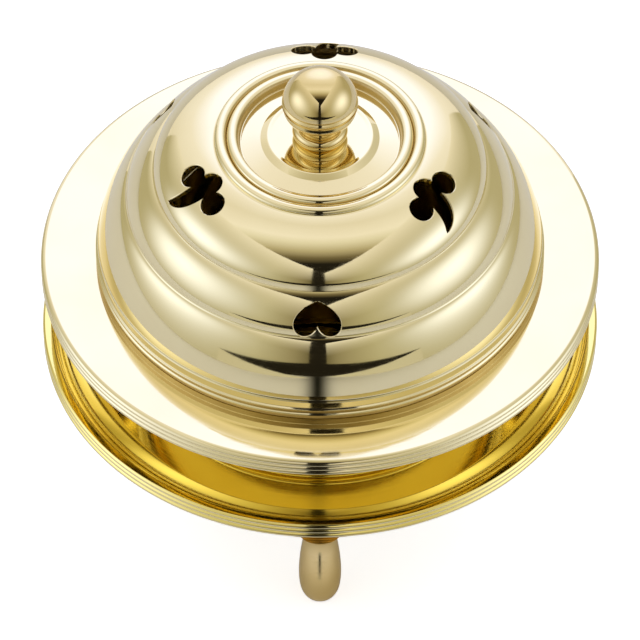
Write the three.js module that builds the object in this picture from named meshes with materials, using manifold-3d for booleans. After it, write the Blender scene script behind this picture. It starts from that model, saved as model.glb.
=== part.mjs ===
// A three-legged Buddhist incense burner in polished brass, in millimetres, +Z up.
// From the floor up: three cast legs, a fire bowl with a wide dished brim, a middle ring with
// a wide flat flange, and a pierced lid in three steps with a turned ball knob.
// The origin is on the floor under the axis, and the front of the burner faces -Y.

import * as THREE from 'three';
import { mergeVertices } from 'three/addons/utils/BufferGeometryUtils.js';
import Module from 'manifold-3d';

const wasm = await Module();
wasm.setup();

// Driving dimensions of the middle ring
const flangeRadius = 60.6;        // the burner is sold by this width, 4 sun across
const flangeTop = 70.6;           // height of the flange's flat top over the floor
const flangeThickness = 1.4;
const rimHeight = 4.15;           // the flange's turned-down edge
const rimWall = 1.7;
const spigotDepth = 4;            // how far the ring plugs into the bowl's mouth
const spigotWall = 1.8;
const locatingRadius = 46.1;      // outside of the low ring that keeps the lid in place
const locatingWidth = 1.2;
const locatingHeight = 2;

// Driving dimensions of the fire bowl
const lipRadius = 60.9;           // outside of the bowl's brim
const lipDrop = 20.4;             // flange top down to the top of the bowl's lip
const lipHeight = 4.1;
const lipWall = 1.9;
const brimFlatDrop = 28.4;        // flange top down to the flat of the dished brim
const brimFlatRadius = 49.4;      // where the dish starts to rise towards the lip
const brimThickness = 1.5;
const mouthRadius = 38.6;         // inside of the fire bowl
const bowlWall = 1.6;
const bowlUnderside = 15.2;       // height of the bowl's flat underside over the floor
const bowlFloorThickness = 1.8;

// Driving dimensions of the lid and the knob
const lidWall = 1.2;
const lidBaseRadius = 48.3;
const discHeight = 36.1;          // flange top up to the disc that carries the knob
const discRadius = 12.65;
const topInside = 33.6;           // flange top up to the flat under the disc
const beadHalfWidth = 1.3;        // the two turned rings round the lid's top
const ballRadius = 8.1;
const ballOverDisc = 9.6;         // height of the ball's centre over the knob's base
const knobFoot = 4.95;            // radius of the knob's foot
const knobRing = { radius: 7.5, height: 2.9 };   // the knob's turned ring, at its widest
const knobNeck = { radius: 4.4, height: 5.9 };

// The lid's three spun steps, given over the flange's top as [radius, height], with the tilt of
// the surface's normal over the horizontal and the length of the curve's handle at each end
const dome = {
  top: [22.5, 35.15], topTilt: 85, topHandle: 5.1,
  bottom: [35.65, 26.3], bottomTilt: 3, bottomHandle: 4.1,
  outside: 6, inside: 4,
};
const shoulder = {
  top: [35.65, 26.2], topTilt: 63, topHandle: 2.8,
  bottom: [41.55, 18.5], bottomTilt: 7, bottomHandle: 2.5,
  outside: 4, inside: 2,
};
const skirt = {
  top: [41.75, 18.2], topTilt: 62, topHandle: 2.6,
  bottom: [47.9, 5.3], bottomTilt: 4, bottomHandle: 4.2,
  outside: 3, inside: 2,
};

// The pierced smoke holes, with their places on the lid's outside
const cloverPlace = { radius: 28.15, height: 33.55, tilt: 66 };
const cloverLobe = 2.7;
const cloverSpread = 4.5;         // middle of the clover out to the middle of a side lobe
const cloverRise = 1.95;          // and to the middle of the lobe nearest the knob
const heartPlace = { radius: 39.45, height: 22.75, tilt: 34 };
const heartTurn = -0.8;           // the holes were set out by hand, a little off the legs
const heartAngles = [0, 120, 240].map((angle) => angle + heartTurn);
const cloverTurn = -2;
const cloverAngles = [60, 180, 300].map((angle) => angle + cloverTurn);

// Driving dimensions of the legs
const legAngles = { front: 0, right: 120, left: 240 };   // degrees round from the front
const legPitchRadius = 34.0;      // the leg screws' circle
const footPitchRadius = 38.4;     // the circle that the feet stand on
const footFlat = 1.5;             // radius of the flat that meets the floor
const footRadius = 4.7;
const neckRadius = 3.65;
const padRadius = 6.1;

// Gaps and fasteners
const sleeveClearance = 0.4;      // between the ring's spigot and the bowl's mouth
const seatGap = 0.1;              // between pieces that rest on each other
const legScrew = { shank: 1.3, length: 6, head: 2.4, headHeight: 1.7, hole: 1.6 };
const knobScrew = { shank: 2, length: 9, head: 3.6, headHeight: 2.2, hole: 2.3 };
const screwSlot = 0.8;
const washer = { radius: 5, thickness: 0.8 };

// How finely the round pieces are divided
const bigSegments = 40;
const smallSegments = 24;
const screwSegments = 12;
const beadSteps = 4;
const curveSegments = 4;

// Heights and radii that several pieces share
const brimFlat = flangeTop - brimFlatDrop;
const lipTop = flangeTop - lipDrop;
const lipBottom = lipTop - lipHeight;
const bowlOuter = mouthRadius + bowlWall;
const bowlFloor = bowlUnderside + bowlFloorThickness;
const spigotRadius = mouthRadius - sleeveClearance;
const boreRadius = spigotRadius - spigotWall;
const discTop = flangeTop + discHeight;

// Colours from the photograph
const brass = { color: '#d9c27c', roughness: 0.14, metalness: 1 };
const innerBrass = { color: '#b9983f', roughness: 0.3, metalness: 1 };
const steel = { color: '#a9a9a4', roughness: 0.35, metalness: 1 };

const burner = new THREE.Group();

function addPiece(name, geometry, look) {
  geometry.computeVertexNormals();
  const mesh = new THREE.Mesh(geometry, new THREE.MeshStandardMaterial({ ...look, flatShading: true }));
  mesh.name = name;
  burner.add(mesh);
}

// Profiles: lists of [radius, height], walked anticlockwise in the half plane
function point(radius, height) {
  return new THREE.Vector2(radius, height);
}

function bezier(start, startHandle, endHandle, end, steps) {
  return new THREE.CubicBezierCurve(start, startHandle, endHandle, end).getPoints(steps);
}

function arc(centre, radius, fromDegrees, toDegrees, steps) {
  const points = [];
  for (let i = 0; i <= steps; i += 1) {
    const angle = THREE.MathUtils.degToRad(THREE.MathUtils.lerp(fromDegrees, toDegrees, i / steps));
    points.push(point(centre.x + radius * Math.cos(angle), centre.y + radius * Math.sin(angle)));
  }
  return points;
}

// A row of half-round beads down the outside of a rim, walked from its bottom edge up
function beadColumn(radius, top, height, count, bulge) {
  const pitch = height / count;
  const points = [];
  for (let bead = 0; bead < count; bead += 1) {
    for (let step = 0; step <= beadSteps; step += 1) {
      const across = step / beadSteps;
      points.push(point(radius - bulge + bulge * Math.sin(Math.PI * across), top - pitch * (bead + across)));
    }
  }
  return points.reverse();
}

// A half-round bead that runs round the lid's top, met from outside to inside
function beadRing(radius, base, at) {
  return arc(point(0, 0), beadHalfWidth, 0, 180, beadSteps)
    .map((p) => at(radius + p.x, base + 0.85 * p.y));
}

// One spun step of the lid, walked from its bottom end up, set in from the outside by the inset
function spunStep(step, at, steps, inset) {
  const unit = (tilt) => {
    const angle = THREE.MathUtils.degToRad(tilt);
    return point(Math.cos(angle), Math.sin(angle));
  };
  const down = (tilt) => unit(tilt - 90);
  const shorter = 1 - 0.15 * inset;
  const start = at(...step.top).addScaledVector(unit(step.topTilt), -inset);
  const end = at(...step.bottom).addScaledVector(unit(step.bottomTilt), -inset);
  const startHandle = start.clone().addScaledVector(down(step.topTilt), shorter * step.topHandle);
  const endHandle = end.clone().addScaledVector(down(step.bottomTilt), -shorter * step.bottomHandle);
  return bezier(end, endHandle, startHandle, start, steps);
}

function revolve(profile, segments) {
  const clean = profile.filter((p, i) => i === 0 || p.distanceTo(profile[i - 1]) > 1e-4);
  const onAxis = clean[0].x < 1e-6 && clean[clean.length - 1].x < 1e-6;
  const closed = onAxis ? clean : [...clean, clean[0].clone()];
  const geometry = new THREE.LatheGeometry(closed, segments);
  geometry.rotateX(Math.PI / 2);
  return geometry;
}

function toSolid(geometry) {
  const bare = new THREE.BufferGeometry();
  bare.setAttribute('position', geometry.getAttribute('position').clone());
  bare.setIndex(geometry.getIndex());
  const merged = mergeVertices(bare, 1e-4);
  const index = merged.getIndex().array;
  const kept = [];
  for (let i = 0; i < index.length; i += 3) {
    const [a, b, c] = [index[i], index[i + 1], index[i + 2]];
    if (a !== b && b !== c && c !== a) kept.push(a, b, c);
  }
  const vertProperties = Float32Array.from(merged.getAttribute('position').array);
  return new wasm.Manifold(new wasm.Mesh({ numProp: 3, vertProperties, triVerts: Uint32Array.from(kept) }));
}

function toGeometry(solid) {
  const mesh = solid.getMesh();
  const geometry = new THREE.BufferGeometry();
  geometry.setAttribute('position', new THREE.BufferAttribute(mesh.vertProperties, 3));
  geometry.setIndex(new THREE.BufferAttribute(mesh.triVerts, 1));
  return geometry;
}

function rod(radius, bottom, top, x, y) {
  const geometry = new THREE.CylinderGeometry(radius, radius, top - bottom, screwSegments);
  geometry.rotateX(Math.PI / 2);
  geometry.translate(x, y, (top + bottom) / 2);
  return toSolid(geometry);
}

// The place on a circle round the axis, measured from the front
function around(degrees, radius) {
  const angle = THREE.MathUtils.degToRad(degrees);
  return { x: radius * Math.sin(angle), y: -radius * Math.cos(angle) };
}

// The fire bowl: a deep round pan whose mouth spreads into a wide dished brim with a beaded lip
function makeBowl() {
  const innerCorner = 2;
  const outerCorner = 3.4;
  const fillet = 1.4;
  const mouthBreak = 0.4;
  const lipInner = lipRadius - lipWall;
  const brimUnder = brimFlat - brimThickness;
  const profile = [
    point(0, bowlUnderside),
    ...arc(point(bowlOuter - outerCorner, bowlUnderside + outerCorner), outerCorner, -90, 0, 3),
    point(bowlOuter, brimUnder - fillet),
    point(bowlOuter + fillet, brimUnder),
    point(brimFlatRadius, brimUnder),
    ...bezier(
      point(brimFlatRadius + 0.6, brimUnder + 0.1),
      point(brimFlatRadius + 5, brimFlat + 0.2),
      point(lipInner - 1, lipBottom - 2),
      point(lipInner + 0.4, lipBottom),
      4,
    ),
    ...beadColumn(lipRadius, lipTop, lipHeight, 3, 0.55),
    point(lipInner, lipTop),
    ...bezier(
      point(lipInner - 0.2, lipTop - 0.8),
      point(lipInner - 1.6, brimFlat + 3),
      point(brimFlatRadius + 3.6, brimFlat + 0.5),
      point(brimFlatRadius, brimFlat),
      4,
    ),
    point(mouthRadius + mouthBreak, brimFlat),
    point(mouthRadius, brimFlat - mouthBreak),
    ...arc(point(mouthRadius - innerCorner, bowlFloor + innerCorner), innerCorner, 0, -90, 2),
    point(0, bowlFloor),
  ];
  let bowl = toSolid(revolve(profile, bigSegments));
  for (const angle of Object.values(legAngles)) {
    const { x, y } = around(angle, legPitchRadius);
    bowl = bowl.subtract(rod(legScrew.hole, bowlUnderside - 1, bowlFloor + 1, x, y));
  }
  return toGeometry(bowl);
}

// A leg: round sections strung along a line that leans outwards, from the flat of the foot
// through a pear-shaped swell and a neck to a flared pad under the bowl
function makeLeg() {
  const sides = 14;
  const padTop = bowlUnderside - seatGap;
  const sections = new THREE.SplineCurve([
    point(footFlat, 0),
    point(3.25, 0.9),
    point(4.35, 2.4),
    point(footRadius, 4.9),
    point(4.25, 8.3),
    point(neckRadius, 11.4),
    point(neckRadius + 0.05, 13),
    point(5.6, 14.6),
    point(padRadius, padTop),
  ]).getPoints(14);
  const padPitchRadius = legPitchRadius + 0.5;
  const positions = [];
  const index = [];
  for (const section of sections) {
    const climb = THREE.MathUtils.smoothstep(section.y, 0, padTop);
    const lean = THREE.MathUtils.lerp(footPitchRadius, padPitchRadius, climb);
    for (let side = 0; side < sides; side += 1) {
      const angle = (2 * Math.PI * side) / sides;
      positions.push(section.x * Math.sin(angle), -lean - section.x * Math.cos(angle), section.y);
    }
  }
  for (let ring = 0; ring < sections.length - 1; ring += 1) {
    for (let side = 0; side < sides; side += 1) {
      const next = (side + 1) % sides;
      const low = ring * sides;
      const high = low + sides;
      index.push(low + side, low + next, high + next, low + side, high + next, high + side);
    }
  }
  const last = (sections.length - 1) * sides;
  for (let side = 1; side < sides - 1; side += 1) {
    index.push(0, side + 1, side);
    index.push(last, last + side, last + side + 1);
  }
  const geometry = new THREE.BufferGeometry();
  geometry.setAttribute('position', new THREE.Float32BufferAttribute(positions, 3));
  geometry.setIndex(index);
  const thread = rod(legScrew.hole, padTop - legScrew.length, padTop + 1, 0, -legPitchRadius);
  return toGeometry(toSolid(geometry).subtract(thread));
}

// A round-headed screw standing on its shank, head up, with a slot across the head
function makeScrew({ shank, length, head, headHeight }) {
  const pointBreak = 0.3;
  const profile = [
    point(0, -length),
    point(shank - pointBreak, -length),
    point(shank, -length + pointBreak),
    point(shank, 0),
    point(head, 0),
    point(head, headHeight * 0.35),
    point(head * 0.8, headHeight * 0.8),
    point(head * 0.4, headHeight),
    point(0, headHeight),
  ];
  const slot = new THREE.BoxGeometry(head * 3, screwSlot, headHeight * 0.7);
  slot.translate(0, 0, headHeight * 0.95);
  return toGeometry(toSolid(revolve(profile, screwSegments)).subtract(toSolid(slot)));
}

// The middle ring: a sleeve that plugs into the bowl's mouth, with the wide flat flange on top
function makeRing() {
  const under = flangeTop - flangeThickness;
  const seat = brimFlat + seatGap;
  const sleeveOuter = mouthRadius + 1;
  const rimInner = flangeRadius - rimWall;
  const edgeBreak = 0.4;
  const footBead = 1.2;
  const fillet = 1.5;
  const rimTop = flangeTop - 0.25;
  const locatingInner = locatingRadius - locatingWidth;
  const profile = [
    point(boreRadius, seat - spigotDepth),
    point(spigotRadius - edgeBreak, seat - spigotDepth),
    point(spigotRadius, seat - spigotDepth + edgeBreak),
    point(spigotRadius, seat),
    ...arc(point(sleeveOuter + 0.6, seat + footBead), footBead, -90, 90, 4),
    point(sleeveOuter, seat + 2.5 * footBead),
    point(sleeveOuter, under - fillet),
    point(sleeveOuter + fillet, under),
    point(rimInner - 1, under),
    point(rimInner, under - 1),
    point(rimInner, flangeTop - rimHeight),
    ...beadColumn(flangeRadius, rimTop, rimTop - flangeTop + rimHeight, 3, 0.5),
    point(flangeRadius - 1, flangeTop),
    point(locatingRadius, flangeTop),
    point(locatingRadius, flangeTop + locatingHeight - edgeBreak),
    point(locatingRadius - edgeBreak, flangeTop + locatingHeight),
    point(locatingInner, flangeTop + locatingHeight),
    point(locatingInner, flangeTop),
    point(boreRadius + edgeBreak, flangeTop),
    point(boreRadius, flangeTop - edgeBreak),
  ];
  return revolve(profile, bigSegments);
}

// The lid's profile: the turned base, the three spun steps, two beads, the knob's disc, and
// the inside a wall's thickness in
function lidProfile() {
  const lift = flangeTop + seatGap;
  const at = (radius, height) => point(radius, lift + height);
  const steps = [skirt, shoulder, dome];
  return [
    at(lidBaseRadius, 0),
    at(lidBaseRadius + 0.35, 1.4),
    at(lidBaseRadius, 1.7),
    at(lidBaseRadius + 0.3, 2.9),
    at(lidBaseRadius - 0.1, 3.2),
    at(lidBaseRadius - 0.1, 4.9),
    ...steps.flatMap((step) => spunStep(step, at, step.outside, 0)),
    ...beadRing(21.2, 35.3, at),
    ...beadRing(18.6, 35.55, at),
    at(17.1, 34.9),
    at(discRadius + 0.25, 34.35),
    at(discRadius, 34.5),
    at(discRadius, discHeight - 0.5),
    at(discRadius - 0.5, discHeight),
    at(knobScrew.hole, discHeight),
    at(knobScrew.hole, topInside),
    ...steps.flatMap((step) => spunStep(step, at, step.inside, lidWall)).reverse(),
    at(lidBaseRadius - lidWall, 3),
    at(lidBaseRadius - lidWall, 0),
  ];
}

// Outlines of the pierced holes, seen square on: across, and up towards the knob
function lobe(x, y) {
  const outline = new THREE.Shape();
  outline.absarc(x, y, cloverLobe, 0, Math.PI * 2, false);
  return outline;
}

function cloverOutlines() {
  const tail = new THREE.Shape();
  tail.moveTo(-2.2, 0.5);
  tail.bezierCurveTo(-2.5, -2.5, -2.6, -5.2, -4.2, -7.3);
  tail.bezierCurveTo(-1.2, -7.9, 2.0, -5.2, 2.1, 0.5);
  tail.closePath();
  return [lobe(-cloverSpread, 0), lobe(cloverSpread, 0), lobe(0, cloverRise), tail];
}

function heartOutlines() {
  const heart = new THREE.Shape();
  heart.moveTo(0, 3.0);
  heart.bezierCurveTo(1.6, 2.6, 5.0, 0.6, 5.05, -2.0);
  heart.bezierCurveTo(5.1, -5.2, 1.1, -5.7, 0, -2.2);
  heart.bezierCurveTo(-1.1, -5.7, -5.1, -5.2, -5.05, -2.0);
  heart.bezierCurveTo(-5.0, 0.6, -1.6, 2.6, 0, 3.0);
  return [heart];
}

// Cuts through the lid's wall at a place on its outside, square to the surface there
function pierce(lid, outlines, angle, place) {
  const reach = { inwards: 6.5, outwards: 4 };
  let cut = lid;
  for (const outline of outlines) {
    const geometry = new THREE.ExtrudeGeometry(outline, {
      depth: reach.inwards + reach.outwards,
      bevelEnabled: false,
      curveSegments,
    });
    geometry.translate(0, 0, -reach.inwards);
    geometry.rotateX(THREE.MathUtils.degToRad(90 - place.tilt));
    geometry.translate(0, -place.radius, flangeTop + place.height);
    geometry.rotateZ(THREE.MathUtils.degToRad(angle));
    cut = cut.subtract(toSolid(geometry));
  }
  return cut;
}

function makeLid() {
  let lid = toSolid(revolve(lidProfile(), bigSegments));
  for (const angle of cloverAngles) lid = pierce(lid, cloverOutlines(), angle, cloverPlace);
  for (const angle of heartAngles) lid = pierce(lid, heartOutlines(), angle, heartPlace);
  return toGeometry(lid);
}

// The knob: a foot, a rounded ring, a neck and a ball with a turned edge under it, drilled from
// below for its screw
function makeKnob() {
  const base = discTop + 2 * seatGap;
  const drillDepth = 9;
  const footHeight = 1.9;
  const edge = { radius: 7.45, height: 7.6 };
  const up = (radius, height) => point(radius, base + height);
  const ringOut = up(knobRing.radius, knobRing.height);
  const profile = [
    up(knobScrew.hole, 0),
    up(knobFoot, 0),
    ...bezier(up(knobFoot, footHeight), up(6.3, footHeight), up(knobRing.radius, 2.2), ringOut, 3),
    ...bezier(ringOut, up(knobRing.radius, 4.1), up(5.6, 4.7), up(knobNeck.radius, knobNeck.height - 0.4), 4),
    ...bezier(
      up(knobNeck.radius, knobNeck.height),
      up(knobNeck.radius, knobNeck.height + 0.8),
      up(edge.radius - 1.8, edge.height - 0.5),
      up(edge.radius, edge.height - 0.3),
      3,
    ),
    up(edge.radius, edge.height + 0.2),
    ...arc(up(0, ballOverDisc), ballRadius, -9, 90, 7),
    up(0, drillDepth),
    up(knobScrew.hole, drillDepth - 1),
  ];
  return revolve(profile, smallSegments);
}

function makeWasher() {
  const top = flangeTop + topInside;
  const bottom = top - washer.thickness;
  return revolve([
    point(knobScrew.hole, bottom),
    point(washer.radius, bottom),
    point(washer.radius, top),
    point(knobScrew.hole, top),
  ], smallSegments);
}

addPiece('fire_bowl', makeBowl(), brass);
addPiece('middle_ring', makeRing(), brass);
addPiece('lid', makeLid(), brass);
addPiece('knob', makeKnob(), brass);
addPiece('knob_washer', makeWasher(), innerBrass);

const underWasher = flangeTop + topInside - washer.thickness - seatGap;
const standingScrew = makeScrew(knobScrew);
standingScrew.rotateX(Math.PI);
standingScrew.translate(0, 0, underWasher);
addPiece('knob_screw', standingScrew, steel);

for (const [name, angle] of Object.entries(legAngles)) {
  const turned = THREE.MathUtils.degToRad(angle);
  const leg = makeLeg();
  leg.rotateZ(turned);
  addPiece(`leg_${name}`, leg, brass);
  const screw = makeScrew(legScrew);
  screw.translate(0, -legPitchRadius, bowlFloor + seatGap);
  screw.rotateZ(turned);
  addPiece(`leg_screw_${name}`, screw, innerBrass);
}

export default burner;
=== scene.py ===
import math

import bpy
import numpy as np
from mathutils import Matrix, Vector
from mathutils.bvhtree import BVHTree


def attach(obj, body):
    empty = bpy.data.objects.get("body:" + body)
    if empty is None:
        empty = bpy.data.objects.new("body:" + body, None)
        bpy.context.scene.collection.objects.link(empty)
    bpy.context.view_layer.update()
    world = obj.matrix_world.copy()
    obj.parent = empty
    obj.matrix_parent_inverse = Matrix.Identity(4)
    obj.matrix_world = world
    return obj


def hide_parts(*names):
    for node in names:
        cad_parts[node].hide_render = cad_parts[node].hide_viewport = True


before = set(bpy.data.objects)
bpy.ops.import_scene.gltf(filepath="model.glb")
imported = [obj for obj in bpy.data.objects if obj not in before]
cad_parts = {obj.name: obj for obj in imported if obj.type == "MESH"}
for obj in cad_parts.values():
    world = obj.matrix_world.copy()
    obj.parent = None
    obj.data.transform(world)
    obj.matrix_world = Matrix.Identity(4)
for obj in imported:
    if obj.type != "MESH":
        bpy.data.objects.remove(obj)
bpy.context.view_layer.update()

MM = 0.001

# Driving dimensions of the middle ring
FLANGE_RADIUS = 60.6
FLANGE_TOP = 70.6
FLANGE_THICKNESS = 1.4
RIM_HEIGHT = 4.15
RIM_WALL = 1.7
RIM_STEP = 0.25                   # how far the rim's top bead lies under the flange's face
SPIGOT_DEPTH = 4
SPIGOT_WALL = 1.8
SLEEVE_OVER_MOUTH = 1             # how much wider than the bowl's mouth the sleeve is
SLEEVE_BEAD = 1.2                 # radius of the half-round bead at the sleeve's foot
LOCATING_RADIUS = 46.1
LOCATING_WIDTH = 1.2
LOCATING_HEIGHT = 2

# Driving dimensions of the fire bowl
LIP_RADIUS = 60.9
LIP_DROP = 20.4
LIP_HEIGHT = 4.1
LIP_WALL = 1.9
BRIM_FLAT_DROP = 28.4
BRIM_FLAT_RADIUS = 49.4
BRIM_THICKNESS = 1.5
MOUTH_RADIUS = 38.6
BOWL_WALL = 1.6
BOWL_UNDERSIDE = 18.8
BOWL_FLOOR_THICKNESS = 1.8
BOWL_CORNER = 3.8

# The half-round beads turned round the edges of the flange and the lip
EDGE_BEADS = 3
RIM_BEAD_BULGE = 0.5
LIP_BEAD_BULGE = 0.55

# Driving dimensions of the lid and the knob
LID_WALL = 1.2
LID_BASE_RADIUS = 48.3
DISC_HEIGHT = 36.1
DISC_RADIUS = 12.65
TOP_INSIDE = 33.6
OUTER_BEAD = (21.2, 35.3)         # radius and height over the flange
INNER_BEAD = (18.6, 35.55)
BEAD_HALF_WIDTH = 1.3
BEAD_RISE = 0.85                  # height of these beads as a share of their half width
BALL_RADIUS = 8.1
BALL_OVER_DISC = 9.6
KNOB_RING = 5.9                   # the knob's rounded ring, which sits on the disc
RING_THICKNESS = 1.55             # radius of that ring's round section
KNOB_NECK = 4.4
NECK_HEIGHT = 5.4
EDGE_RADIUS = 7.45                # the turned edge under the ball
EDGE_HEIGHT = 7.6
DRILL_DEPTH = 9

# The lid's three spun steps: (radius, height over the flange), the tilt of the surface's normal
# over the horizontal and the length of the curve's handle at each end
DOME = {
    "top": (22.5, 35.15), "top_tilt": 85, "top_handle": 5.1,
    "bottom": (35.65, 26.3), "bottom_tilt": 3, "bottom_handle": 4.1,
}
SHOULDER = {
    "top": (35.65, 26.2), "top_tilt": 63, "top_handle": 2.8,
    "bottom": (41.55, 18.5), "bottom_tilt": 7, "bottom_handle": 2.5,
}
SKIRT = {
    "top": (41.75, 18.2), "top_tilt": 62, "top_handle": 2.6,
    "bottom": (47.9, 5.3), "bottom_tilt": 4, "bottom_handle": 4.2,
}
INSET_SHORTENS = 0.15             # share by which a millimetre of inset shortens the handles

# The pierced smoke holes, with their places on the lid's outside
CLOVER_PLACE = {"radius": 28.15, "height": 33.55, "tilt": 66}
CLOVER_TURN = -2
CLOVER_ANGLES = [angle + CLOVER_TURN for angle in (60, 180, 300)]
CLOVER_LOBE = 2.7
CLOVER_SPREAD = 4.5
CLOVER_RISE = 1.95
HEART_PLACE = {"radius": 39.45, "height": 22.75, "tilt": 34}
HEART_TURN = -0.8
HEART_ANGLES = [angle + HEART_TURN for angle in (0, 120, 240)]

# The plug that cuts a hole, with its heights over the hole's place or over the surface there
CHAMFER = 0.18
CUTTER_FLARE = 0.25               # how far the flare for the chamfer runs on over the surface
CUTTER_CLEAR = 3                  # how far the plug stands out over the surface
CUTTER_DEPTH = 7                  # how far it reaches in under the hole's place
PROBE_HEIGHT = 8                  # from where the surface is looked for, over the hole's place

# Driving dimensions of the legs
LEG_ANGLES = {"front": 0, "right": 120, "left": 240}
LEG_PITCH_RADIUS = 34.0
FOOT_PITCH_RADIUS = 38.4
PAD_OFFSET = 0.5                  # how far outside its screw the pad's middle lies
FOOT_FLAT = 1.5
FOOT_RADIUS = 4.7
NECK_RADIUS = 3.65
PAD_RADIUS = 5.4

# Gaps and fasteners
SLEEVE_CLEARANCE = 0.4
SEAT_GAP = 0.1
LEG_SCREW = {"shank": 1.3, "length": 6, "head": 2.4, "head_height": 1.7, "hole": 1.6}
KNOB_SCREW = {"shank": 2, "length": 9, "head": 3.6, "head_height": 2.2, "hole": 2.3}
SCREW_SLOT = 0.8
WASHER = {"radius": 5, "thickness": 0.8}

# How finely the pieces are divided
BIG_SEGMENTS = 256
SMALL_SEGMENTS = 96
LEG_SIDES = 64
LEG_SPAN_STEPS = 8
DISH_STEPS = 32
CORNER_STEPS = 5
BEAD_STEPS = 14
SAME_SPOT = 1e-4                  # points nearer than this are one point
TINY = 1e-6

# Heights and radii that several pieces share
BRIM_FLAT = FLANGE_TOP - BRIM_FLAT_DROP
LIP_TOP = FLANGE_TOP - LIP_DROP
LIP_BOTTOM = LIP_TOP - LIP_HEIGHT
BOWL_OUTER = MOUTH_RADIUS + BOWL_WALL
BOWL_FLOOR = BOWL_UNDERSIDE + BOWL_FLOOR_THICKNESS
SPIGOT_RADIUS = MOUTH_RADIUS - SLEEVE_CLEARANCE
BORE_RADIUS = SPIGOT_RADIUS - SPIGOT_WALL
DISC_TOP = FLANGE_TOP + DISC_HEIGHT
WASHER_TOP = FLANGE_TOP + TOP_INSIDE
WASHER_BOTTOM = WASHER_TOP - WASHER["thickness"]


# Profiles: lists of (radius, height) or (radius, height, corner radius), walked anticlockwise
def bezier(start, start_handle, end_handle, end, steps):
    corners = (start, start_handle, end_handle, end)
    points = []
    for i in range(steps + 1):
        t = i / steps
        weights = ((1 - t) ** 3, 3 * (1 - t) ** 2 * t, 3 * (1 - t) * t * t, t ** 3)
        points.append(tuple(sum(w * c[k] for w, c in zip(weights, corners)) for k in (0, 1)))
    return points


def arc(centre, radius, from_degrees, to_degrees, steps):
    points = []
    for i in range(steps + 1):
        angle = math.radians(from_degrees + (to_degrees - from_degrees) * i / steps)
        points.append((centre[0] + radius * math.cos(angle), centre[1] + radius * math.sin(angle)))
    return points


def bead_column(radius, top, height, bulge):
    """A row of half-round beads down the outside of an edge, walked from its bottom up."""
    pitch = height / EDGE_BEADS
    points = []
    for bead in range(EDGE_BEADS):
        for step in range(BEAD_STEPS + 1):
            across = step / BEAD_STEPS
            out = radius - bulge + bulge * math.sin(math.pi * across)
            points.append((out, top - pitch * (bead + across)))
    return points[::-1]


def bead_ring(place, at):
    """A half-round bead that runs round the lid's top, met from outside to inside."""
    radius, base = place
    half = arc((0, 0), BEAD_HALF_WIDTH, 0, 180, BEAD_STEPS)
    return [at(radius + x, base + BEAD_RISE * y) for x, y in half]


def unit(tilt):
    return Vector((math.cos(math.radians(tilt)), math.sin(math.radians(tilt))))


def spun_step(step, at, steps, inset):
    """One spun step of the lid, walked from its bottom end up, set in from the outside."""
    shorter = 1 - INSET_SHORTENS * inset
    start = Vector(at(*step["top"])) - inset * unit(step["top_tilt"])
    end = Vector(at(*step["bottom"])) - inset * unit(step["bottom_tilt"])
    start_handle = start + shorter * step["top_handle"] * unit(step["top_tilt"] - 90)
    end_handle = end - shorter * step["bottom_handle"] * unit(step["bottom_tilt"] - 90)
    return bezier(end, end_handle, start_handle, start, steps)


def corner_arc(spot, before, after, corner_radius):
    """The arc that rounds a corner, or the bare corner where there is nothing to round."""
    if not corner_radius or before.length < TINY or after.length < TINY:
        return [spot]
    half = before.angle(after) / 2
    nearly_straight = math.radians(88)
    if half > nearly_straight:
        return [spot]
    longest_share = 0.45
    reach = min(
        corner_radius / math.tan(half),
        longest_share * before.length,
        longest_share * after.length,
    )
    radius = reach * math.tan(half)
    to_before = before.normalized()
    to_after = after.normalized()
    middle = spot + (to_before + to_after).normalized() * radius / math.sin(half)
    first = spot + to_before * reach - middle
    turn = first.angle_signed(spot + to_after * reach - middle)
    turns = [-turn * step / CORNER_STEPS for step in range(CORNER_STEPS + 1)]
    return [middle + Matrix.Rotation(angle, 2) @ first for angle in turns]


def rounded(profile, closed):
    """The profile with an arc at each corner that has a corner radius, and no doubled points."""
    spots = [Vector(p[:2]) for p in profile]
    radii = [p[2] if len(p) > 2 else 0 for p in profile]
    count = len(spots)
    points = []
    for i in range(count):
        inner = closed or 0 < i < count - 1
        before = spots[i - 1] - spots[i]
        after = spots[(i + 1) % count] - spots[i]
        points += corner_arc(spots[i], before, after, radii[i] if inner else 0)
    kept = [points[0]]
    for point in points[1:]:
        if (point - kept[-1]).length > SAME_SPOT:
            kept.append(point)
    if closed and (kept[-1] - kept[0]).length < SAME_SPOT:
        kept.pop()
    return np.array([tuple(p) for p in kept])


def profile_normals(points, closed):
    """The outward normal at each point of a profile, its longer neighbour weighing more."""
    ahead = np.roll(points, -1, axis=0) - points
    side = np.stack([ahead[:, 1], -ahead[:, 0]], axis=1)
    if not closed:
        side[-1] = 0
    total = side + np.roll(side, 1, axis=0)
    if not closed:
        total[0] = (0, np.sign(side[0][1]))
        total[-1] = (0, np.sign(side[-2][1]))
    return total / np.linalg.norm(total, axis=1)[:, None]


def normals_near(places, points, normals):
    """The profile's normal at the spot of it that lies nearest to each (radius, height)."""
    start, end = points, np.roll(points, -1, axis=0)
    span = end - start
    square = np.maximum((span ** 2).sum(1), 1e-12)
    found = np.zeros((len(places), 2))
    chunk = 4000
    for low in range(0, len(places), chunk):
        part = places[low:low + chunk]
        along = ((part[:, None, :] - start[None]) * span[None]).sum(2) / square[None]
        along = np.clip(along, 0, 1)
        near = start[None] + along[:, :, None] * span[None]
        gap = ((part[:, None, :] - near) ** 2).sum(2)
        best = gap.argmin(1)
        share = along[np.arange(len(part)), best][:, None]
        after = (best + 1) % len(points)
        found[low:low + chunk] = normals[best] * (1 - share) + normals[after] * share
    return found / np.linalg.norm(found, axis=1)[:, None]


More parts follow.
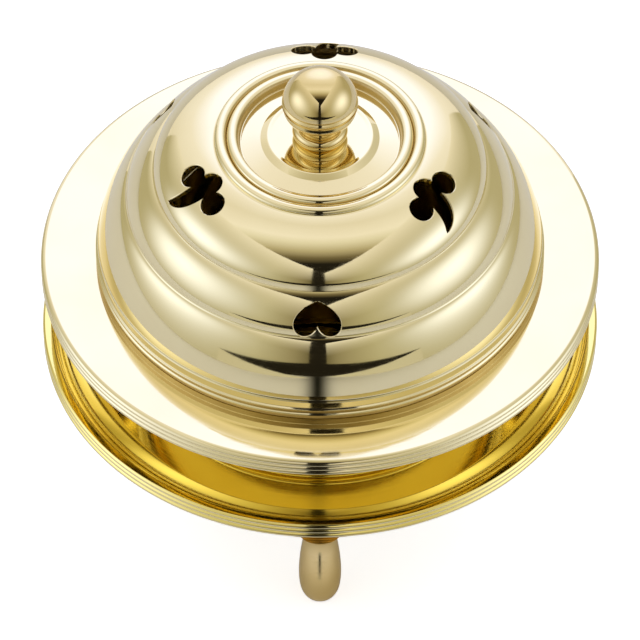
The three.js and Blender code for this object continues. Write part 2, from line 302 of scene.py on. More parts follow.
# Making meshes
def new_object(name, vertices, faces):
    mesh = bpy.data.meshes.new(name)
    mesh.from_pydata([tuple(MM * c for c in v) for v in vertices], [], faces)
    mesh.update()
    mesh.shade_smooth()
    made = bpy.data.objects.new(name, mesh)
    bpy.context.scene.collection.objects.link(made)
    return made


def lathe(name, profile, segments):
    """A closed turned body. Its profile closes on itself, or starts and ends on the axis."""
    on_axis = profile[0][0] < TINY and profile[-1][0] < TINY
    points = rounded(profile, not on_axis)
    normals = profile_normals(points, not on_axis)
    count = len(points)
    vertices, vertex_normals, rings = [], [], []
    for (radius, height), (out, up) in zip(points, normals):
        if radius < TINY:
            rings.append([len(vertices)] * segments)
            vertices.append((0, 0, height))
            vertex_normals.append((0, 0, up))
            continue
        rings.append(list(range(len(vertices), len(vertices) + segments)))
        for j in range(segments):
            angle = 2 * math.pi * j / segments
            vertices.append((radius * math.cos(angle), radius * math.sin(angle), height))
            vertex_normals.append((out * math.cos(angle), out * math.sin(angle), up))
    faces = []
    for i in range(count - 1 if on_axis else count):
        low, high = rings[i], rings[(i + 1) % count]
        for j in range(segments):
            k = (j + 1) % segments
            corners = [low[j], low[k], high[k], high[j]]
            faces.append([c for n, c in enumerate(corners) if c not in corners[:n]])
    made = new_object(name, vertices, faces)
    made.data.normals_split_custom_set_from_vertices(vertex_normals)
    return made, points, normals


def tube_faces(ring_count, sides):
    """The faces round a stack of rings, and then the cap at each end."""
    faces = []
    for ring in range(ring_count - 1):
        low = ring * sides
        high = low + sides
        for side in range(sides):
            after = (side + 1) % sides
            faces.append([low + side, low + after, high + after, high + side])
    last = (ring_count - 1) * sides
    faces.append(list(range(sides))[::-1])
    faces.append(list(range(last, last + sides)))
    return faces


def cut_with(target, cutter):
    modifier = target.modifiers.new("cut", "BOOLEAN")
    modifier.operation = "DIFFERENCE"
    modifier.solver = "MANIFOLD"
    modifier.object = cutter
    graph = bpy.context.evaluated_depsgraph_get()
    mesh = bpy.data.meshes.new_from_object(target.evaluated_get(graph))
    target.modifiers.remove(modifier)
    old = target.data
    mesh.name = target.name
    target.data = mesh
    bpy.data.meshes.remove(old)
    bpy.data.objects.remove(cutter)


def sharpen(piece, degrees):
    piece.data.set_sharp_from_angle(angle=math.radians(degrees))


# Nodes
def new_material(name):
    material = bpy.data.materials.new(name)
    material.use_nodes = True
    return material, material.node_tree


def add_node(tree, kind, **values):
    node = tree.nodes.new(kind)
    for key, value in values.items():
        setattr(node, key, value)
    return node


def feed(tree, socket, value):
    """Links a socket to another one, or sets it to a plain number or colour."""
    if isinstance(value, bpy.types.NodeSocket):
        tree.links.new(value, socket)
    elif isinstance(value, (int, float)):
        socket.default_value = value
    else:
        socket.default_value = (*value, 1)


def math_node(tree, operation, *values):
    node = add_node(tree, "ShaderNodeMath", operation=operation)
    for socket, value in zip(node.inputs, values):
        feed(tree, socket, value)
    return node.outputs[0]


def mixed(tree, share, first, second):
    """The first colour, which gives way to the second as the share rises."""
    node = add_node(tree, "ShaderNodeMix", data_type="RGBA")
    for key, value in (("Factor", share), ("A", first), ("B", second)):
        feed(tree, node.inputs[key], value)
    return node.outputs["Result"]


def ramp(tree, source, stops):
    node = add_node(tree, "ShaderNodeValToRGB")
    elements = node.color_ramp.elements
    while len(elements) < len(stops):
        elements.new(0.5)
    for element, (position, value) in zip(elements, stops):
        element.position = position
        element.color = (*value, 1)
    tree.links.new(source, node.inputs["Fac"])
    return node.outputs["Color"]


def bell(tree, source, middle, spread):
    """A bell curve of the source round its middle."""
    offset = math_node(tree, "DIVIDE", math_node(tree, "SUBTRACT", source, middle), spread)
    square = math_node(tree, "MULTIPLY", offset, offset)
    return math_node(tree, "EXPONENT", math_node(tree, "MULTIPLY", square, -0.5))


def object_place(tree):
    """The place on the object, in metres, as a whole and split into X, Y and Z."""
    place = add_node(tree, "ShaderNodeTexCoord").outputs["Object"]
    split = add_node(tree, "ShaderNodeSeparateXYZ")
    tree.links.new(place, split.inputs[0])
    return place, split.outputs


# Brass and steel. A scale is the number of the noise's cells in a metre
TONE_SCALE = 45
RING_SCALE = 2600
HAZE_SCALE = 160
WAVE_SCALE = 70


def turned_metal(name, light, deep, smooth, rough, marks, waves):
    """Metal that was turned and then polished: rings of fine tool marks, soft waves, fine wear.

    It has two tones and two roughnesses, and its marks and waves have their heights in mm.
    """
    material, tree = new_material(name)
    shader = tree.nodes["Principled BSDF"]
    shader.inputs["Metallic"].default_value = 1
    place, axes = object_place(tree)
    flat = add_node(tree, "ShaderNodeCombineXYZ")
    tree.links.new(axes["X"], flat.inputs["X"])
    tree.links.new(axes["Y"], flat.inputs["Y"])
    radius = add_node(tree, "ShaderNodeVectorMath", operation="LENGTH")
    tree.links.new(flat.outputs[0], radius.inputs[0])
    ring_place = add_node(tree, "ShaderNodeCombineXYZ")
    tree.links.new(radius.outputs["Value"], ring_place.inputs["X"])
    tree.links.new(axes["Z"], ring_place.inputs["Y"])

    def noise(source, scale, detail):
        texture = add_node(tree, "ShaderNodeTexNoise")
        texture.inputs["Scale"].default_value = scale
        texture.inputs["Detail"].default_value = detail
        tree.links.new(source, texture.inputs["Vector"])
        return texture.outputs["Fac"]

    def remap(source, low, high, out_low, out_high):
        spread = add_node(tree, "ShaderNodeMapRange")
        limits = {"From Min": low, "From Max": high, "To Min": out_low, "To Max": out_high}
        for key, value in limits.items():
            spread.inputs[key].default_value = value
        tree.links.new(source, spread.inputs["Value"])
        return spread.outputs["Result"]

    def bump(height, distance):
        node = add_node(tree, "ShaderNodeBump")
        node.inputs["Distance"].default_value = distance * MM
        tree.links.new(height, node.inputs["Height"])
        return node

    tone = remap(noise(place, TONE_SCALE, 3), 0.35, 0.7, 0, 1)
    tree.links.new(mixed(tree, tone, light, deep), shader.inputs["Base Color"])

    rings = noise(ring_place.outputs[0], RING_SCALE, 2)
    haze = noise(place, HAZE_SCALE, 5)
    wear = math_node(tree, "MULTIPLY", rings, haze)
    tree.links.new(remap(wear, 0.12, 0.4, smooth, rough), shader.inputs["Roughness"])

    ring_bump = bump(rings, marks)
    wave_bump = bump(noise(place, WAVE_SCALE, 1), waves)
    tree.links.new(ring_bump.outputs["Normal"], wave_bump.inputs["Normal"])
    tree.links.new(wave_bump.outputs["Normal"], shader.inputs["Normal"])
    return material


BRASS = turned_metal(
    "polished brass", light=(0.91, 0.80, 0.47), deep=(0.88, 0.76, 0.43),
    smooth=0.03, rough=0.09, marks=0.0004, waves=0.006,
)
# A darker copy of the polished brass, used only on the knob: painted shade that dims the ball's
# reflections.
KNOB_BRASS_PAINTED_SHADE = turned_metal(
    "knob brass with painted shade", light=(0.85, 0.69, 0.34), deep=(0.81, 0.65, 0.30),
    smooth=0.03, rough=0.09, marks=0.0004, waves=0.006,
)
CAST = turned_metal(
    "cast brass", light=(0.97, 0.77, 0.40), deep=(0.83, 0.60, 0.22),
    smooth=0.06, rough=0.22, marks=0.002, waves=0.05,
)
# A yellower, more saturated copy of the polished brass for the faces in the gap under the flange:
# painted bounce light, not a different metal.
GAP_BRASS_PAINTED_BOUNCE = turned_metal(
    "gap brass with painted bounce light", light=(0.97, 0.81, 0.28), deep=(0.95, 0.78, 0.25),
    smooth=0.05, rough=0.13, marks=0.0006, waves=0.006,
)
INSIDE = turned_metal(
    "brass inside", light=(0.62, 0.47, 0.2), deep=(0.5, 0.36, 0.13),
    smooth=0.25, rough=0.45, marks=0.004, waves=0.01,
)
SAWN = turned_metal(
    "sawn brass", light=(0.9, 0.78, 0.44), deep=(0.8, 0.66, 0.34),
    smooth=0.12, rough=0.3, marks=0.0, waves=0.02,
)
STEEL = turned_metal(
    "screw steel", light=(0.62, 0.62, 0.6), deep=(0.5, 0.5, 0.49),
    smooth=0.25, rough=0.4, marks=0.003, waves=0.004,
)


def dress(piece, body, node, slot, *materials):
    for material in materials:
        piece.data.materials.append(material)
    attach(piece, body)
    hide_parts(node)


def inside_faces(piece, test):
    """Gives the second material to the faces whose middle passes the test."""
    for polygon in piece.data.polygons:
        centre = polygon.center / MM
        normal = polygon.normal
        radius = math.hypot(centre.x, centre.y)
        out = (normal.x * centre.x + normal.y * centre.y) / max(radius, TINY)
        polygon.material_index = 1 if test(radius, centre.z, out, normal.z) else 0


# The fire bowl: a deep round pan whose mouth spreads into a wide dished brim with a beaded lip
def make_bowl():
    lip_inner = LIP_RADIUS - LIP_WALL
    brim_under = BRIM_FLAT - BRIM_THICKNESS
    painted_bounce_from = 30
    profile = [
        (0, BOWL_UNDERSIDE),
        (BOWL_OUTER, BOWL_UNDERSIDE, BOWL_CORNER),
        (BOWL_OUTER, brim_under, 1.4),
        (BRIM_FLAT_RADIUS, brim_under, 0.5),
        *bezier(
            (BRIM_FLAT_RADIUS + 0.6, brim_under + 0.1),
            (BRIM_FLAT_RADIUS + 5, BRIM_FLAT + 0.2),
            (lip_inner - 1, LIP_BOTTOM - 2),
            (lip_inner + 0.4, LIP_BOTTOM),
            DISH_STEPS,
        ),
        *bead_column(LIP_RADIUS, LIP_TOP, LIP_HEIGHT, LIP_BEAD_BULGE),
        (lip_inner, LIP_TOP, 0.15),
        *bezier(
            (lip_inner - 0.2, LIP_TOP - 0.8),
            (lip_inner - 1.6, BRIM_FLAT + 3),
            (BRIM_FLAT_RADIUS + 3.6, BRIM_FLAT + 0.5),
            (BRIM_FLAT_RADIUS, BRIM_FLAT),
            DISH_STEPS,
        ),
        (MOUTH_RADIUS, BRIM_FLAT, 0.4),
        (MOUTH_RADIUS, BOWL_FLOOR, BOWL_CORNER - BOWL_WALL),
        (0, BOWL_FLOOR),
    ]
    bowl, _, _ = lathe("fire_bowl_turned", profile, BIG_SEGMENTS)
    # Up-facing faces past this radius and inward-facing faces get the copy with painted bounce
    # light.
    inside_faces(bowl, lambda r, z, out, up: up > 0.5 and r > painted_bounce_from or out < 0)
    dress(bowl, "bowl", "fire_bowl", "polished_brass", BRASS, GAP_BRASS_PAINTED_BOUNCE)


# A leg: round sections strung along a line that leans outwards, with a hole in its pad
def catmull_rom(p, t):
    return 0.5 * (
        2 * p[1] + (p[2] - p[0]) * t
        + (2 * p[0] - 5 * p[1] + 4 * p[2] - p[3]) * t * t
        + (3 * p[1] - p[0] - 3 * p[2] + p[3]) * t * t * t
    )


def leg_sections(pad_top):
    """The leg's (radius, height) from the ground to its pad, on a smooth line through knots."""
    knots = [
        (FOOT_FLAT, 0),
        (3.15, 0.8),
        (4.3, 2.9),
        (FOOT_RADIUS, 6.6),
        (4.4, 10.8),
        (NECK_RADIUS + 0.1, 15.2),
        (NECK_RADIUS + 0.2, 17.0),
        (4.9, 18.2),
        (PAD_RADIUS, pad_top),
    ]
    last = len(knots) - 1
    sections = []
    for i in range(last):
        near = [Vector(knots[max(0, min(last, i + k))]) for k in (-1, 0, 1, 2)]
        sections += [catmull_rom(near, step / LEG_SPAN_STEPS) for step in range(LEG_SPAN_STEPS)]
    return [*sections, Vector(knots[-1])]


def make_leg(side_name, turned):
    pad_top = BOWL_UNDERSIDE - SEAT_GAP
    rings = []
    for radius, height in leg_sections(pad_top):
        climb = height / pad_top
        climb = climb * climb * (3 - 2 * climb)
        lean = FOOT_PITCH_RADIUS + (LEG_PITCH_RADIUS + PAD_OFFSET - FOOT_PITCH_RADIUS) * climb
        rings.append((lean, radius, height))
    for height in (pad_top, pad_top - LEG_SCREW["length"]):
        rings.append((LEG_PITCH_RADIUS, LEG_SCREW["hole"], height))
    vertices = []
    for lean, radius, height in rings:
        for side in range(LEG_SIDES):
            angle = 2 * math.pi * side / LEG_SIDES
            vertices.append((radius * math.sin(angle), -lean - radius * math.cos(angle), height))
    leg = new_object("leg_" + side_name + "_cast", vertices, tube_faces(len(rings), LEG_SIDES))
    leg.data.transform(Matrix.Rotation(math.radians(turned), 4, "Z"))
    sharpen(leg, 35)
    dress(leg, "bowl", "leg_" + side_name, "polished_brass", CAST)


# A round-headed screw with a slot across its head
def screw_dome(head, height):
    """The domed top of a screw head, from its edge to its middle."""
    steps = 12
    edge = 0.3 * height
    rise = height - edge
    radius = (head * head + rise * rise) / (2 * rise)
    start = math.degrees(math.asin(head / radius))
    return [
        (radius * math.sin(math.radians(a)), height - radius + radius * math.cos(math.radians(a)))
        for a in np.linspace(start, start / steps, steps)
    ]


def slot_cutter(size):
    """A bar across the screw's head, from inside the head to over it."""
    reach = 1.5 * size["head"]
    half = SCREW_SLOT / 2
    heights = (0.6 * size["head_height"], 1.3 * size["head_height"])
    corners = [(x * reach, y * half, z) for z in heights for y in (-1, 1) for x in (-1, 1)]
    sides = [[0, 2, 3, 1], [4, 5, 7, 6], [0, 1, 5, 4], [2, 6, 7, 3], [0, 4, 6, 2], [1, 3, 7, 5]]
    return new_object("slot", corners, sides)


def make_screw(node, size, place, body, slot, material, turn_over=False):
    profile = [
        (0, -size["length"]),
        (size["shank"], -size["length"], 0.3),
        (size["shank"], 0, 0.1),
        (size["head"], 0, 0.15),
        *screw_dome(size["head"], size["head_height"]),
        (0, size["head_height"]),
    ]
    screw, _, _ = lathe(node + "_turned", profile, SMALL_SEGMENTS // 2)
    cut_with(screw, slot_cutter(size))
    if turn_over:
        screw.data.transform(Matrix.Rotation(math.pi, 4, "X"))
    screw.data.transform(Matrix.Translation([MM * c for c in place]))
    sharpen(screw, 35)
    dress(screw, body, node, slot, material)


# The middle ring: a sleeve that plugs into the bowl's mouth, with the wide flat flange on top
def make_ring():
    under = FLANGE_TOP - FLANGE_THICKNESS
    seat = BRIM_FLAT + SEAT_GAP
    sleeve_outer = MOUTH_RADIUS + SLEEVE_OVER_MOUTH
    rim_inner = FLANGE_RADIUS - RIM_WALL
    rim_top = FLANGE_TOP - RIM_STEP
    rim_bottom = FLANGE_TOP - RIM_HEIGHT
    locating_inner = LOCATING_RADIUS - LOCATING_WIDTH
    profile = [
        (BORE_RADIUS, seat - SPIGOT_DEPTH, 0.3),
        (SPIGOT_RADIUS, seat - SPIGOT_DEPTH, 0.4),
        (SPIGOT_RADIUS, seat),
        *arc((sleeve_outer + 0.6, seat + SLEEVE_BEAD), SLEEVE_BEAD, -90, 90, 20),
        (sleeve_outer, seat + 2.5 * SLEEVE_BEAD, 0.6),
        (sleeve_outer, under, 1.5),
        (rim_inner, under, 1.0),
        (rim_inner, rim_bottom, 0.15),
        *bead_column(FLANGE_RADIUS, rim_top, rim_top - rim_bottom, RIM_BEAD_BULGE),
        (FLANGE_RADIUS - 1, FLANGE_TOP, 0.6),
        (LOCATING_RADIUS, FLANGE_TOP, 0.15),
        (LOCATING_RADIUS, FLANGE_TOP + LOCATING_HEIGHT, 0.4),
        (locating_inner, FLANGE_TOP + LOCATING_HEIGHT, 0.2),
        (locating_inner, FLANGE_TOP, 0.15),
        (BORE_RADIUS, FLANGE_TOP, 0.4),
    ]
    ring, _, _ = lathe("middle_ring_turned", profile, BIG_SEGMENTS)
    # The flange's underside gets the copy of the brass with painted bounce light.
    inside_faces(ring, lambda r, z, out, up: z < under + 0.01 and r < FLANGE_RADIUS - 1)
    dress(ring, "ring", "middle_ring", "polished_brass", BRASS, GAP_BRASS_PAINTED_BOUNCE)


# The lid's profile: the turned base, three spun steps, two beads, the knob's disc and the inside
def lid_profile():
    lift = FLANGE_TOP + SEAT_GAP
    base = LID_BASE_RADIUS

    def at(radius, height):
        return radius, lift + height

    outside = []
    inside = []
    for step in (SKIRT, SHOULDER, DOME):
        outside += spun_step(step, at, 40, 0)
        inside += spun_step(step, at, 16, LID_WALL)
    return [
        (*at(base, 0), 0.15),
        (*at(base + 0.35, 1.4), 0.4),
        (*at(base, 1.7), 0.1),
        (*at(base + 0.3, 2.9), 0.2),
        (*at(base - 0.1, 3.2), 0.1),
        (*at(base - 0.1, 4.9), 0.2),
        *outside,
        *bead_ring(OUTER_BEAD, at),
        *bead_ring(INNER_BEAD, at),
        (*at(17.1, 34.5), 0.3),
        (*at(DISC_RADIUS, DISC_HEIGHT - 0.75), 0.15),
        (*at(DISC_RADIUS - 0.35, DISC_HEIGHT - 0.55), 0.5),
        (*at(DISC_RADIUS - 1.5, DISC_HEIGHT + 0.1), 0.8),
        (*at(DISC_RADIUS - 2.4, DISC_HEIGHT), 0.8),
        (*at(KNOB_SCREW["hole"], DISC_HEIGHT), 0.1),
        (*at(KNOB_SCREW["hole"], TOP_INSIDE), 0.1),
        *inside[::-1],
        (*at(base - LID_WALL, 3), 0.3),
        (*at(base - LID_WALL, 0), 0.1),
    ]


# Outlines of the pierced holes, seen square on: across, and up towards the knob
def clover_outlines():
    tail = [
        *bezier((-2.2, 0.5), (-2.5, -2.5), (-2.6, -5.2), (-4.2, -7.3), 20)[:-1],
        *bezier((-4.2, -7.3), (-1.2, -7.9), (2.0, -5.2), (2.1, 0.5), 20),
    ]
    middles = ((-CLOVER_SPREAD, 0), (CLOVER_SPREAD, 0), (0, CLOVER_RISE))
    return [arc(middle, CLOVER_LOBE, 0, 360, 40)[:-1] for middle in middles] + [tail]


def heart_outlines():
    right = [
        *bezier((0, 3.0), (1.6, 2.6), (5.0, 0.6), (5.05, -2.0), 16)[:-1],
        *bezier((5.05, -2.0), (5.1, -5.2), (1.1, -5.7), (0, -2.2), 16),
    ]
    left = [(-x, y) for x, y in right[1:-1]][::-1]
    return [(right + left)[::-1]]


def runs_anticlockwise(outline):
    after = outline[1:] + outline[:1]
    return sum(x * next_y - next_x * y for (x, y), (next_x, next_y) in zip(outline, after)) > 0


def hole_cutter(outline, angle, place, surface):
    """A plug through the lid's wall whose mouth flares at the outer surface, for a chamfer."""
    turn = Matrix.Rotation(math.radians(angle), 4, "Z")
    tilt = Matrix.Rotation(math.radians(90 - place["tilt"]), 4, "X")
    move = Matrix.Translation((0, -place["radius"], FLANGE_TOP + place["height"]))
    stand = turn @ move @ tilt
    inwards = (stand.to_3x3() @ Vector((0, 0, -1))).normalized()
    count = len(outline)
    anticlockwise = runs_anticlockwise(outline)
    sharp_point = 0.3
    rings = ([], [], [], [])
    for i in range(count):
        before, here, after = [Vector(outline[(i + k) % count]) for k in (-1, 0, 1)]
        along = (here - before).normalized() + (after - here).normalized()
        if along.length < sharp_point:
            along = after - here
        along.normalize()
        outwards = Vector((along.y, -along.x)) * (1 if anticlockwise else -1)
        wide = here + outwards * (CHAMFER + CUTTER_FLARE)
        start = stand @ Vector((*here, PROBE_HEIGHT))
        hit, _, _, _ = surface.ray_cast(start, inwards)
        height = PROBE_HEIGHT - (hit - start).length
        rings[0].append(stand @ Vector((*here, -CUTTER_DEPTH)))
        rings[1].append(stand @ Vector((*here, height - CHAMFER)))
        rings[2].append(stand @ Vector((*wide, height + CUTTER_FLARE)))
        rings[3].append(stand @ Vector((*wide, height + CUTTER_CLEAR)))
    faces = tube_faces(len(rings), count)
    if not anticlockwise:
        faces = [face[::-1] for face in faces]
    return new_object("hole", [v for ring in rings for v in ring], faces)


# The lid's outside, its inside and the walls of its holes have a material each
LID_MATERIALS = (BRASS, INSIDE, SAWN)
HOLE_WALLS = 2


def pierce(lid, cutter):
    for material in LID_MATERIALS:
        cutter.data.materials.append(material)
    for polygon in cutter.data.polygons:
        polygon.material_index = HOLE_WALLS
    cut_with(lid, cutter)


def restore_normals(piece, points, normals):
    """After a cut, gives the turned faces the exact normals of their profile again."""
    mesh = piece.data
    sharpen(piece, 30)
    place = np.zeros(len(mesh.vertices) * 3)
    mesh.vertices.foreach_get("co", place)
    place = place.reshape(-1, 3) / MM
    radius = np.hypot(place[:, 0], place[:, 1])
    found = normals_near(np.stack([radius, place[:, 2]], axis=1), points, normals)
    turn = place[:, :2] / np.maximum(radius, 1e-9)[:, None]
    surface = np.stack([found[:, 0] * turn[:, 0], found[:, 0] * turn[:, 1], found[:, 1]], axis=1)
    loops = np.zeros(len(mesh.loops) * 3)
    mesh.corner_normals.foreach_get("vector", loops)
    loops = loops.reshape(-1, 3)
    for polygon in mesh.polygons:
        if polygon.material_index != HOLE_WALLS:
            for loop in polygon.loop_indices:
                loops[loop] = surface[mesh.loops[loop].vertex_index]
    mesh.normals_split_custom_set([tuple(v) for v in loops])


def make_lid():
    lid, points, normals = lathe("lid_pierced", lid_profile(), BIG_SEGMENTS)
    for material in LID_MATERIALS:
        lid.data.materials.append(material)
    screw_hole = 4
    inside_faces(lid, lambda r, z, out, up: r > screw_hole and (up < -0.2 or out < -0.5))
    solid = [Vector(v.co) / MM for v in lid.data.vertices]
    surface = BVHTree.FromPolygons(solid, [list(p.vertices) for p in lid.data.polygons])
    holes = (
        (CLOVER_ANGLES, clover_outlines(), CLOVER_PLACE),
        (HEART_ANGLES, heart_outlines(), HEART_PLACE),
    )
    for angles, outlines, place in holes:
        for angle in angles:
            for outline in outlines:
                pierce(lid, hole_cutter(outline, angle, place, surface))
    restore_normals(lid, points, normals)
    dress(lid, "lid", "lid", "polished_brass")


# The knob, turned in one piece and drilled from below for its screw
def make_knob():
    base = DISC_TOP + 2 * SEAT_GAP
    ring_middle = KNOB_RING - RING_THICKNESS

    def at(radius, height, corner=0.0):
        return radius, base + height, corner

    profile = [
        at(KNOB_SCREW["hole"], 0, 0.1),
        *arc((ring_middle, base + RING_THICKNESS), RING_THICKNESS, -90, 100, 40),
        at(KNOB_NECK, 2 * RING_THICKNESS - 0.1, 0.3),
        *bezier(
            at(KNOB_NECK, NECK_HEIGHT),
            at(KNOB_NECK, NECK_HEIGHT + 0.8),
            at(EDGE_RADIUS - 1.8, EDGE_HEIGHT - 0.5),
            at(EDGE_RADIUS, EDGE_HEIGHT - 0.3),
            14,
        ),
        at(EDGE_RADIUS + 0.3, EDGE_HEIGHT + 0.6, 0.5),
        at(EDGE_RADIUS - 0.1, EDGE_HEIGHT + 1.5, 0.15),
        at(EDGE_RADIUS + 0.65, EDGE_HEIGHT + 1.9, 0.4),
        at(EDGE_RADIUS + 0.6, EDGE_HEIGHT + 2.8, 0.4),
        at(EDGE_RADIUS + 0.2, EDGE_HEIGHT + 3.2, 0.1),
        *arc((0, base + BALL_OVER_DISC), BALL_RADIUS, 12, 90, 60),
        at(0, DRILL_DEPTH),
        at(KNOB_SCREW["hole"], DRILL_DEPTH - 1, 0.2),
    ]
    knob, _, _ = lathe("knob_turned", profile, SMALL_SEGMENTS * 2)
    # The knob wears the darker copy of the brass, painted shade.
    dress(knob, "lid", "knob", "polished_brass", KNOB_BRASS_PAINTED_SHADE)


def make_washer():
    washer, _, _ = lathe("knob_washer_turned", [
        (KNOB_SCREW["hole"], WASHER_BOTTOM, 0.1),
        (WASHER["radius"], WASHER_BOTTOM, 0.15),
        (WASHER["radius"], WASHER_TOP, 0.15),
        (KNOB_SCREW["hole"], WASHER_TOP, 0.1),
    ], SMALL_SEGMENTS)
    dress(washer, "lid", "knob_washer", "inner_brass", INSIDE)


def make_knob_screw():
    place = (0, 0, WASHER_BOTTOM - SEAT_GAP)
    make_screw("knob_screw", KNOB_SCREW, place, "lid", "steel", STEEL, turn_over=True)


def make_legs():
    for side_name, turned in LEG_ANGLES.items():
        make_leg(side_name, turned)
        angle = math.radians(turned)
        x = LEG_PITCH_RADIUS * math.sin(angle)
        y = -LEG_PITCH_RADIUS * math.cos(angle)
        place = (x, y, BOWL_FLOOR + SEAT_GAP)
        make_screw("leg_screw_" + side_name, LEG_SCREW, place, "bowl", "inner_brass", INSIDE)


make_bowl()
make_ring()
make_lid()
make_knob()
make_washer()
make_knob_screw()
make_legs()


# The studio, in metres and degrees: two standing diffusers that leave a narrow gap in front, with
# a card under the front of each past a dark wedge, a table, and a backdrop that is brightest
# behind and fades over the top to dark in front. An azimuth runs from the front towards +X, on
# the diffusers to either side, and an elevation is seen from the knob
KNOB_HEIGHT = 0.116
WHITE = (1, 1, 1)
BLACK = (0, 0, 0)

PANEL_RISE = 0.9                  # height of the diffusers over the knob
PANEL_FOOT = 0.002
PANEL_BACK = 7                    # how far they run back, in distances from the burner
WEDGE_TIP = (45.4, -3)            # azimuth and elevation where the dark wedges begin
WEDGE_TOP = 4.5                   # elevation of their upper edge at the gap
WEDGE_FOOT = -9.5                 # and of their lower edge
CARD_COLOUR = (0.62, 0.6, 0.52)
LAMP_COLOUR = (1.35, 1.45, 1.9)
TOP_COLOUR = (0.9, 0.88, 0.9)
TOP_FADE = [(0.35, BLACK), (1.0, WHITE)]
CLOTH_COLOURS = [                 # share of the way to the gap, and the cloth's colour there
    (0.0, (0.50, 0.476, 0.36)),
    (0.4, (0.50, 0.476, 0.34)),
    (0.8, (0.30, 0.27, 0.18)),
    (1.0, (0.17, 0.15, 0.09)),
]
# A diffuser is nearest at the azimuth it faces, rises so many times its distance, and ends at
# the gap. Its lamp has an azimuth, an elevation, and a glow so many distances wide and high
DIFFUSERS = {
    "left": {
        "side": -1, "facing": 59, "steepness": 1.8, "gap": 5,
        "lamp": (82, 18), "glow": (0.46, 0.29),
    },
    "right": {
        "side": 1, "facing": 68, "steepness": 1.9, "gap": 3,
        "lamp": (78, 18), "glow": (0.4, 0.27),
    },
}

BACK_POLE = (180, 32)             # azimuth and elevation of the backdrop's brightest place
BACKDROP_COLOURS = [              # degrees away from that place, and the colour there
    (0, (1.3, 1.45, 2.1)),
    (18, (1.2, 1.3, 1.9)),
    (30, (1.0, 1.0, 1.15)),
    (45, (0.86, 0.84, 0.86)),
    (60, (0.98, 0.97, 1.05)),
    (66, (0.84, 0.83, 0.8)),
    (75, (0.52, 0.476, 0.357)),
    (83, (0.175, 0.146, 0.087)),
    (91, (0.015, 0.013, 0.01)),
    (180, (0.015, 0.013, 0.01)),
]

TABLE_FRONT = 1.1
TABLE_HALF = 4
TABLE_GLOW = 0.66                 # what the camera sees on top of the lit paper
# The dark wedge set by these values is a painted reflection of the gap on the paper, seen only by
# the brass.
GAP_MIDDLE = -1                   # azimuth of the gap's dark image in the table
GAP_SPREAD = 3.5
GAP_START = 0.1                   # how far in front of the burner's axis the image begins
GAP_FADE = 0.05
PAINTED_GAP_REFLECTION_COLOUR = (0.02, 0.02, 0.015)


def direction(azimuth, elevation):
    a, e = math.radians(azimuth), math.radians(elevation)
    return Vector((math.sin(a) * math.cos(e), -math.cos(a) * math.cos(e), math.sin(e)))


def glowing(name, colour):
    """A material that only glows. A plain colour, or a function that makes it in the tree."""
    material, tree = new_material(name)
    tree.nodes.remove(tree.nodes["Principled BSDF"])
    glow = add_node(tree, "ShaderNodeEmission")
    feed(tree, glow.inputs["Color"], colour(tree) if callable(colour) else colour)
    tree.links.new(glow.outputs[0], tree.nodes["Material Output"].inputs["Surface"])
    return material


def stand_panel(name, outline, stand, material):
    mesh = bpy.data.meshes.new(name)
    mesh.from_pydata([(x, 0, z) for x, z in outline], [], [list(range(len(outline)))])
    mesh.materials.append(material)
    panel = bpy.data.objects.new(name, mesh)
    bpy.context.scene.collection.objects.link(panel)
    panel.matrix_world = stand
    panel.visible_camera = False


def make_diffuser(name, side, facing, steepness, gap, lamp, glow):
    """A diffuser and its card. Their x runs to the front from the spot nearest the burner."""
    distance = PANEL_RISE / steepness

    def on_panel(azimuth, elevation):
        x = distance * math.tan(math.radians(facing - azimuth))
        return x, KNOB_HEIGHT + math.tan(math.radians(elevation)) * math.hypot(distance, x)

    gap_x, wedge_top = on_panel(gap, WEDGE_TOP)
    _, wedge_foot = on_panel(gap, WEDGE_FOOT)
    tip_x, tip_z = on_panel(*WEDGE_TIP)
    lamp_x, lamp_z = on_panel(*lamp)

    def cloth(tree):
        """White where the lamp stands behind it, tan away from it, darker towards the gap."""
        _, axes = object_place(tree)
        lit = math_node(
            tree, "MULTIPLY",
            bell(tree, axes["X"], lamp_x, glow[0] * distance),
            bell(tree, axes["Z"], lamp_z, glow[1] * distance),
        )
        plain = ramp(tree, math_node(tree, "DIVIDE", axes["X"], gap_x), CLOTH_COLOURS)
        high = ramp(tree, axes["Z"], TOP_FADE)
        return mixed(tree, lit, mixed(tree, high, plain, TOP_COLOUR), LAMP_COLOUR)

    nearest = direction(side * facing, 0)
    to_front = direction(side * (facing - 90), 0)
    stand = Matrix((
        (to_front.x, -nearest.x, 0, nearest.x * distance),
        (to_front.y, -nearest.y, 0, nearest.y * distance),
        (0, 0, 1, 0),
        (0, 0, 0, 1),
    ))
    back = -PANEL_BACK * distance
    top = KNOB_HEIGHT + PANEL_RISE
    diffuser = [
        (gap_x, wedge_top), (gap_x, top), (back, top),
        (back, PANEL_FOOT), (tip_x, PANEL_FOOT), (tip_x, tip_z),
    ]
    card = [(gap_x, wedge_foot), (tip_x, tip_z), (tip_x, PANEL_FOOT), (gap_x, PANEL_FOOT)]
    stand_panel(name, diffuser, stand, glowing(name, cloth))
    stand_panel(name + " card", card, stand, glowing(name + " card", CARD_COLOUR))


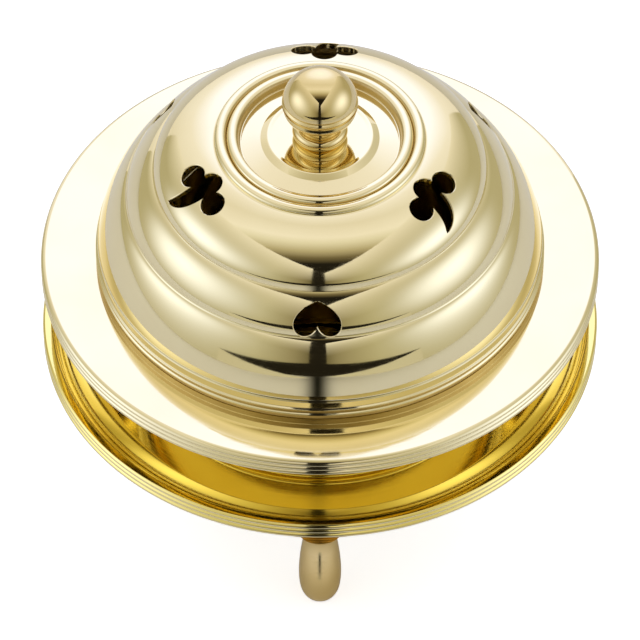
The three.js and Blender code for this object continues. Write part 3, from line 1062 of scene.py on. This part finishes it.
def make_world():
    """The backdrop, which is plain white to the camera."""
    world = bpy.data.worlds.new("studio")
    bpy.context.scene.world = world
    world.use_nodes = True
    tree = world.node_tree
    place = add_node(tree, "ShaderNodeTexCoord")
    facing = add_node(tree, "ShaderNodeVectorMath", operation="DOT_PRODUCT")
    tree.links.new(place.outputs["Generated"], facing.inputs[0])
    facing.inputs[1].default_value = direction(*BACK_POLE)
    angle = math_node(tree, "ARCCOSINE", facing.outputs["Value"])
    half_turns = math_node(tree, "DIVIDE", angle, math.pi)
    backdrop = ramp(tree, half_turns, [(degrees / 180, c) for degrees, c in BACKDROP_COLOURS])
    seen = add_node(tree, "ShaderNodeLightPath").outputs["Is Camera Ray"]
    shown = mixed(tree, seen, backdrop, WHITE)
    tree.links.new(shown, tree.nodes["Background"].inputs["Color"])


def make_floor():
    """White paper, with a painted reflection of the dark gap between the diffusers: a dark wedge
    in front that only the brass's glossy rays see.
    """
    half = TABLE_HALF / MM
    front = TABLE_FRONT / MM
    corners = [(-half, -front, 0), (half, -front, 0), (half, half, 0), (-half, half, 0)]
    floor = new_object("floor", corners, [[0, 1, 2, 3]])
    material, tree = new_material("white paper")
    shader = tree.nodes["Principled BSDF"]
    shader.inputs["Roughness"].default_value = 0.9
    shader.inputs["Specular IOR Level"].default_value = 0
    grain = add_node(tree, "ShaderNodeTexNoise")
    grain.inputs["Scale"].default_value = 3
    paper = ramp(tree, grain.outputs["Fac"], [(0, (0.82, 0.82, 0.82)), (1, (0.84, 0.84, 0.84))])
    seen = add_node(tree, "ShaderNodeLightPath").outputs
    lift = math_node(tree, "MULTIPLY", seen["Is Camera Ray"], TABLE_GLOW)
    shader.inputs["Emission Color"].default_value = (*WHITE, 1)
    tree.links.new(lift, shader.inputs["Emission Strength"])

    # Painted reflection: a near-black wedge in front of the burner, shown only to glossy rays.
    _, axes = object_place(tree)
    forwards = math_node(tree, "MULTIPLY", axes["Y"], -1)
    aside = math_node(tree, "ARCTAN2", axes["X"], forwards)
    in_painted_gap = bell(tree, aside, math.radians(GAP_MIDDLE), math.radians(GAP_SPREAD))
    away = ramp(tree, forwards, [(GAP_START, BLACK), (GAP_START + GAP_FADE, WHITE)])
    dark = math_node(tree, "MULTIPLY", in_painted_gap, away)
    painted_reflection_mask = math_node(tree, "MULTIPLY", dark, seen["Is Glossy Ray"])
    tree.links.new(mixed(tree, painted_reflection_mask, paper, PAINTED_GAP_REFLECTION_COLOUR), shader.inputs["Base Color"])
    floor.data.materials.append(material)


for panel_side, measures in DIFFUSERS.items():
    make_diffuser("diffuser " + panel_side, **measures)
make_world()
make_floor()

# The camera, at the photograph's viewing angle
CAMERA_DISTANCE = 1.212
CAMERA_ELEVATION = 48.26
LOOK_AT_HEIGHT = 47.9
FOCAL_LENGTH = 309.7
SENSOR_WIDTH = 36
NEAREST_SEEN = 0.05
FARTHEST_SEEN = 50


def make_camera():
    data = bpy.data.cameras.new("camera")
    data.lens = FOCAL_LENGTH
    data.sensor_width = SENSOR_WIDTH
    data.clip_start = NEAREST_SEEN
    data.clip_end = FARTHEST_SEEN
    camera = bpy.data.objects.new("camera", data)
    bpy.context.scene.collection.objects.link(camera)
    towards = direction(0, CAMERA_ELEVATION)
    camera.location = Vector((0, 0, LOOK_AT_HEIGHT * MM)) + towards * CAMERA_DISTANCE
    camera.rotation_mode = "QUATERNION"
    camera.rotation_quaternion = towards.to_track_quat("Z", "Y")
    bpy.context.scene.camera = camera


make_camera()
bpy.context.scene.view_settings.view_transform = "Standard"
